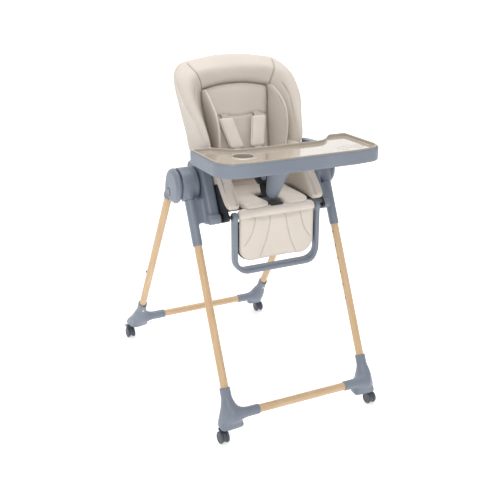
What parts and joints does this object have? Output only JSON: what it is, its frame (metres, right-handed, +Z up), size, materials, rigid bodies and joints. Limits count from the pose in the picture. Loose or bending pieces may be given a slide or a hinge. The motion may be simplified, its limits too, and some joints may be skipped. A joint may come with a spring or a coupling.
{
  "type": "baby high chair",
  "caption": "Folding baby high chair with a tubular A-frame on casters, height-adjustable reclining padded seat, swing-up leg rest and sliding tray.",
  "frame": {"origin": "on the floor, in the middle of the chair's footprint", "axes": "+Z up, the chair faces -Y, +X is to the viewer's right when looking along +Y"},
  "size_m": [0.579, 0.8891, 1.0811],
  "materials": {
    "slate_plastic": "satin moulded",
    "beech_tube": "satin wood-grain coating on metal tube",
    "leatherette": "soft coated leatherette with stitched seams",
    "webbing": "woven webbing",
    "black_plastic": "matte",
    "wheel_grey": "matte",
    "steel": "zinc plated",
    "tray_gloss": "glossy"
  },
  "bodies": {
    "front_frame": {"front_leg_l": "beech_tube", "front_leg_r": "beech_tube", "front_foot_l": "slate_plastic", "front_foot_r": "slate_plastic", "front_crossbar": "beech_tube", "hub_inner_l": "slate_plastic", "hub_inner_r": "slate_plastic", "hub_pins": "steel"},
    "rear_frame": {"rear_leg_l": "beech_tube", "rear_leg_r": "beech_tube", "rear_foot_l": "slate_plastic", "rear_foot_r": "slate_plastic", "rear_crossbar": "beech_tube", "hub_outer_l": "slate_plastic", "hub_outer_r": "slate_plastic", "tray_hooks": "black_plastic", "foot_screws": "steel"},
    "fold_button_l": {"fold_button_l": "slate_plastic"},
    "fold_button_r": {"fold_button_r": "slate_plastic"},
    "caster_fl": {"caster_fork_fl": "black_plastic"},
    "caster_fr": {"caster_fork_fr": "black_plastic"},
    "caster_rl": {"caster_fork_rl": "black_plastic"},
    "caster_rr": {"caster_fork_rr": "black_plastic"},
    "wheels_fl": {"caster_wheels_fl": "wheel_grey"},
    "wheels_fr": {"caster_wheels_fr": "wheel_grey"},
    "wheels_rl": {"caster_wheels_rl": "wheel_grey"},
    "wheels_rr": {"caster_wheels_rr": "wheel_grey"},
    "brake_l": {"brake_pedal_l": "slate_plastic"},
    "brake_r": {"brake_pedal_r": "slate_plastic"},
    "seat_carriage": {"slider_l": "slate_plastic", "slider_r": "slate_plastic", "seat_brackets": "black_plastic", "seat_shell": "slate_plastic", "seat_rods": "steel", "seat_pad": "leatherette", "side_pad_l": "leatherette", "side_pad_r": "leatherette", "crotch_strap": "webbing", "waist_straps": "webbing", "buckle": "black_plastic"},
    "height_button_l": {"height_button_l": "black_plastic"},
    "height_button_r": {"height_button_r": "black_plastic"},
    "buckle_button": {"buckle_button": "slate_plastic"},
    "backrest": {"back_shell": "slate_plastic", "back_pad": "leatherette", "wing_l": "leatherette", "wing_r": "leatherette", "shoulder_pad_l": "leatherette", "shoulder_pad_r": "leatherette", "shoulder_straps": "webbing"},
    "recline_handle": {"recline_handle": "black_plastic"},
    "legrest": {"footrest_bar": "slate_plastic", "calf_plate": "black_plastic", "calf_pad": "leatherette"},
    "tray": {"tray_base": "slate_plastic", "tray_post": "slate_plastic"},
    "tray_insert": {"tray_insert": "tray_gloss"},
    "tray_latch_l": {"tray_latch_l": "black_plastic"},
    "tray_latch_r": {"tray_latch_r": "black_plastic"}
  },
  "joints": [
    {"name": "frame_fold", "type": "hinge", "parent": "front_frame", "child": "rear_frame", "pos_m": [0, -0.08985, 0.7175], "axis": [-1, 0, 0], "range_deg": [0, 50]},
    {"name": "fold_press_l", "type": "slide", "parent": "rear_frame", "child": "fold_button_l", "axis": [1, 0, 0], "range_m": [0, 0.0035], "stiffness_N_per_m": 900, "springref_m": -0.004},
    {"name": "fold_press_r", "type": "slide", "parent": "rear_frame", "child": "fold_button_r", "axis": [-1, 0, 0], "range_m": [0, 0.0035], "stiffness_N_per_m": 900, "springref_m": -0.004},
    {"name": "swivel_fl", "type": "hinge", "parent": "front_frame", "child": "caster_fl", "pos_m": [-0.263, -0.40385, 0.04], "axis": [0, 0, 1], "continuous": true},
    {"name": "wheel_spin_fl", "type": "hinge", "parent": "caster_fl", "child": "wheels_fl", "pos_m": [-0.263, -0.41485, 0.019], "axis": [-1, 0, 0], "continuous": true},
    {"name": "swivel_fr", "type": "hinge", "parent": "front_frame", "child": "caster_fr", "pos_m": [0.263, -0.40385, 0.04], "axis": [0, 0, 1], "continuous": true},
    {"name": "wheel_spin_fr", "type": "hinge", "parent": "caster_fr", "child": "wheels_fr", "pos_m": [0.263, -0.41485, 0.019], "axis": [-1, 0, 0], "continuous": true},
    {"name": "swivel_rl", "type": "hinge", "parent": "rear_frame", "child": "caster_rl", "pos_m": [-0.2745, 0.41515, 0.04], "axis": [0, 0, 1], "continuous": true},
    {"name": "wheel_spin_rl", "type": "hinge", "parent": "caster_rl", "child": "wheels_rl", "pos_m": [-0.2745, 0.40415, 0.019], "axis": [-1, 0, 0], "continuous": true},
    {"name": "swivel_rr", "type": "hinge", "parent": "rear_frame", "child": "caster_rr", "pos_m": [0.2745, 0.41515, 0.04], "axis": [0, 0, 1], "continuous": true},
    {"name": "wheel_spin_rr", "type": "hinge", "parent": "caster_rr", "child": "wheels_rr", "pos_m": [0.2745, 0.40415, 0.019], "axis": [-1, 0, 0], "continuous": true},
    {"name": "brake_l", "type": "hinge", "parent": "caster_rl", "child": "brake_l", "pos_m": [-0.2745, 0.42775, 0.031], "axis": [-1, 0, 0], "range_deg": [0, 18]},
    {"name": "brake_r", "type": "hinge", "parent": "caster_rr", "child": "brake_r", "pos_m": [0.2745, 0.42775, 0.031], "axis": [-1, 0, 0], "range_deg": [0, 18]},
    {"name": "seat_height", "type": "slide", "parent": "front_frame", "child": "seat_carriage", "axis": [0, 0.4161, 0.9093], "range_m": [-0.218, 0]},
    {"name": "height_press_l", "type": "slide", "parent": "seat_carriage", "child": "height_button_l", "axis": [0, -0.9093, 0.4161], "range_m": [0, 0.004], "stiffness_N_per_m": 900, "springref_m": -0.004},
    {"name": "height_press_r", "type": "slide", "parent": "seat_carriage", "child": "height_button_r", "axis": [0, -0.9093, 0.4161], "range_m": [0, 0.004], "stiffness_N_per_m": 900, "springref_m": -0.004},
    {"name": "buckle_press", "type": "slide", "parent": "seat_carriage", "child": "buckle_button", "axis": [0, 0.9135, -0.4067], "range_m": [0, 0.0025], "stiffness_N_per_m": 800, "springref_m": -0.004},
    {"name": "recline", "type": "hinge", "parent": "seat_carriage", "child": "backrest", "pos_m": [0, -0.02285, 0.668], "axis": [-1, 0, 0], "range_deg": [0, 30]},
    {"name": "handle_pull", "type": "slide", "parent": "backrest", "child": "recline_handle", "axis": [0, 0.2487, 0.9686], "range_m": [0, 0.01], "stiffness_N_per_m": 700, "springref_m": -0.004},
    {"name": "legrest_lift", "type": "hinge", "parent": "seat_carriage", "child": "legrest", "pos_m": [0, -0.24885, 0.645], "axis": [-1, 0, 0], "range_deg": [0, 60]},
    {"name": "tray_slide", "type": "slide", "parent": "seat_carriage", "child": "tray", "axis": [0, -1, 0], "range_m": [0, 0.06]},
    {"name": "insert_lift", "type": "slide", "parent": "tray", "child": "tray_insert", "axis": [0, 0, 1], "range_m": [0, 0.08]},
    {"name": "latch_press_l", "type": "slide", "parent": "tray", "child": "tray_latch_l", "axis": [0, -1, 0], "range_m": [0, 0.003], "stiffness_N_per_m": 900, "springref_m": -0.004},
    {"name": "latch_press_r", "type": "slide", "parent": "tray", "child": "tray_latch_r", "axis": [0, -1, 0], "range_m": [0, 0.003], "stiffness_N_per_m": 900, "springref_m": -0.004}
  ]
}
